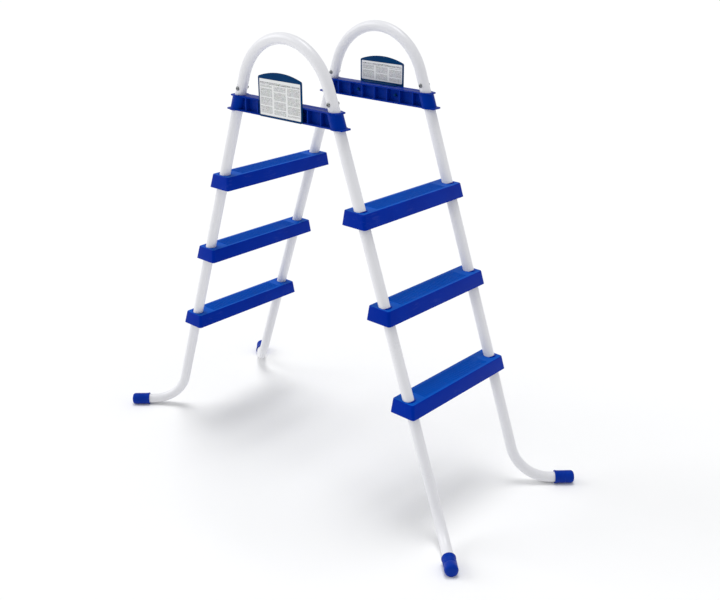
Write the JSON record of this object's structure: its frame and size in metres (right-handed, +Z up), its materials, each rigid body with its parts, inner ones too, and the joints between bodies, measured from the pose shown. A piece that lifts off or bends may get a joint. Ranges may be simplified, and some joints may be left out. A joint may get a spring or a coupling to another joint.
{
  "type": "pool ladder",
  "caption": "Free-standing A-frame ladder for an above-ground pool: white bent tube side frames with hoop handrails, blue hollow steps, cross bars, sign plates and push-on foot caps.",
  "frame": {"origin": "on the ground at the middle of the four feet", "axes": "+Z up, +X from the left flight of steps to the right one, +Y from the near side frame to the far one"},
  "size_m": [1.4568, 0.6446, 1.3483],
  "materials": {
    "tube_coating": "satin white powder coat on steel tube",
    "step_plastic": "satin moulded blue polypropylene",
    "bar_plastic": "satin moulded navy blue polypropylene",
    "plate_plastic": "satin moulded navy blue polypropylene",
    "cap_plastic": "satin soft blue vinyl",
    "label_film": "printed white vinyl film",
    "bolt_steel": "dull zinc plate",
    "screw_steel": "zinc plate"
  },
  "bodies": {
    "root": {"foot_cap_left_far": "cap_plastic", "foot_cap_left_near": "cap_plastic", "foot_cap_right_far": "cap_plastic", "foot_cap_right_near": "cap_plastic", "inner_label_far": "label_film", "inner_label_near": "label_film", "leg_left_far": "tube_coating", "leg_left_near": "tube_coating", "leg_right_far": "tube_coating", "leg_right_near": "tube_coating", "outer_label_far": "label_film", "outer_label_near": "label_film", "rail_bolts": "bolt_steel", "rail_cap_nuts": "bolt_steel", "sign_plate_far": "plate_plastic", "sign_plate_near": "plate_plastic", "step_left_bottom": "step_plastic", "step_left_middle": "step_plastic", "step_left_top": "step_plastic", "step_right_bottom": "step_plastic", "step_right_middle": "step_plastic", "step_right_top": "step_plastic", "step_screws": "screw_steel", "top_rail_far": "tube_coating", "top_rail_near": "tube_coating", "wall_bar_far": "bar_plastic", "wall_bar_near": "bar_plastic"}
  },
  "joints": []
}
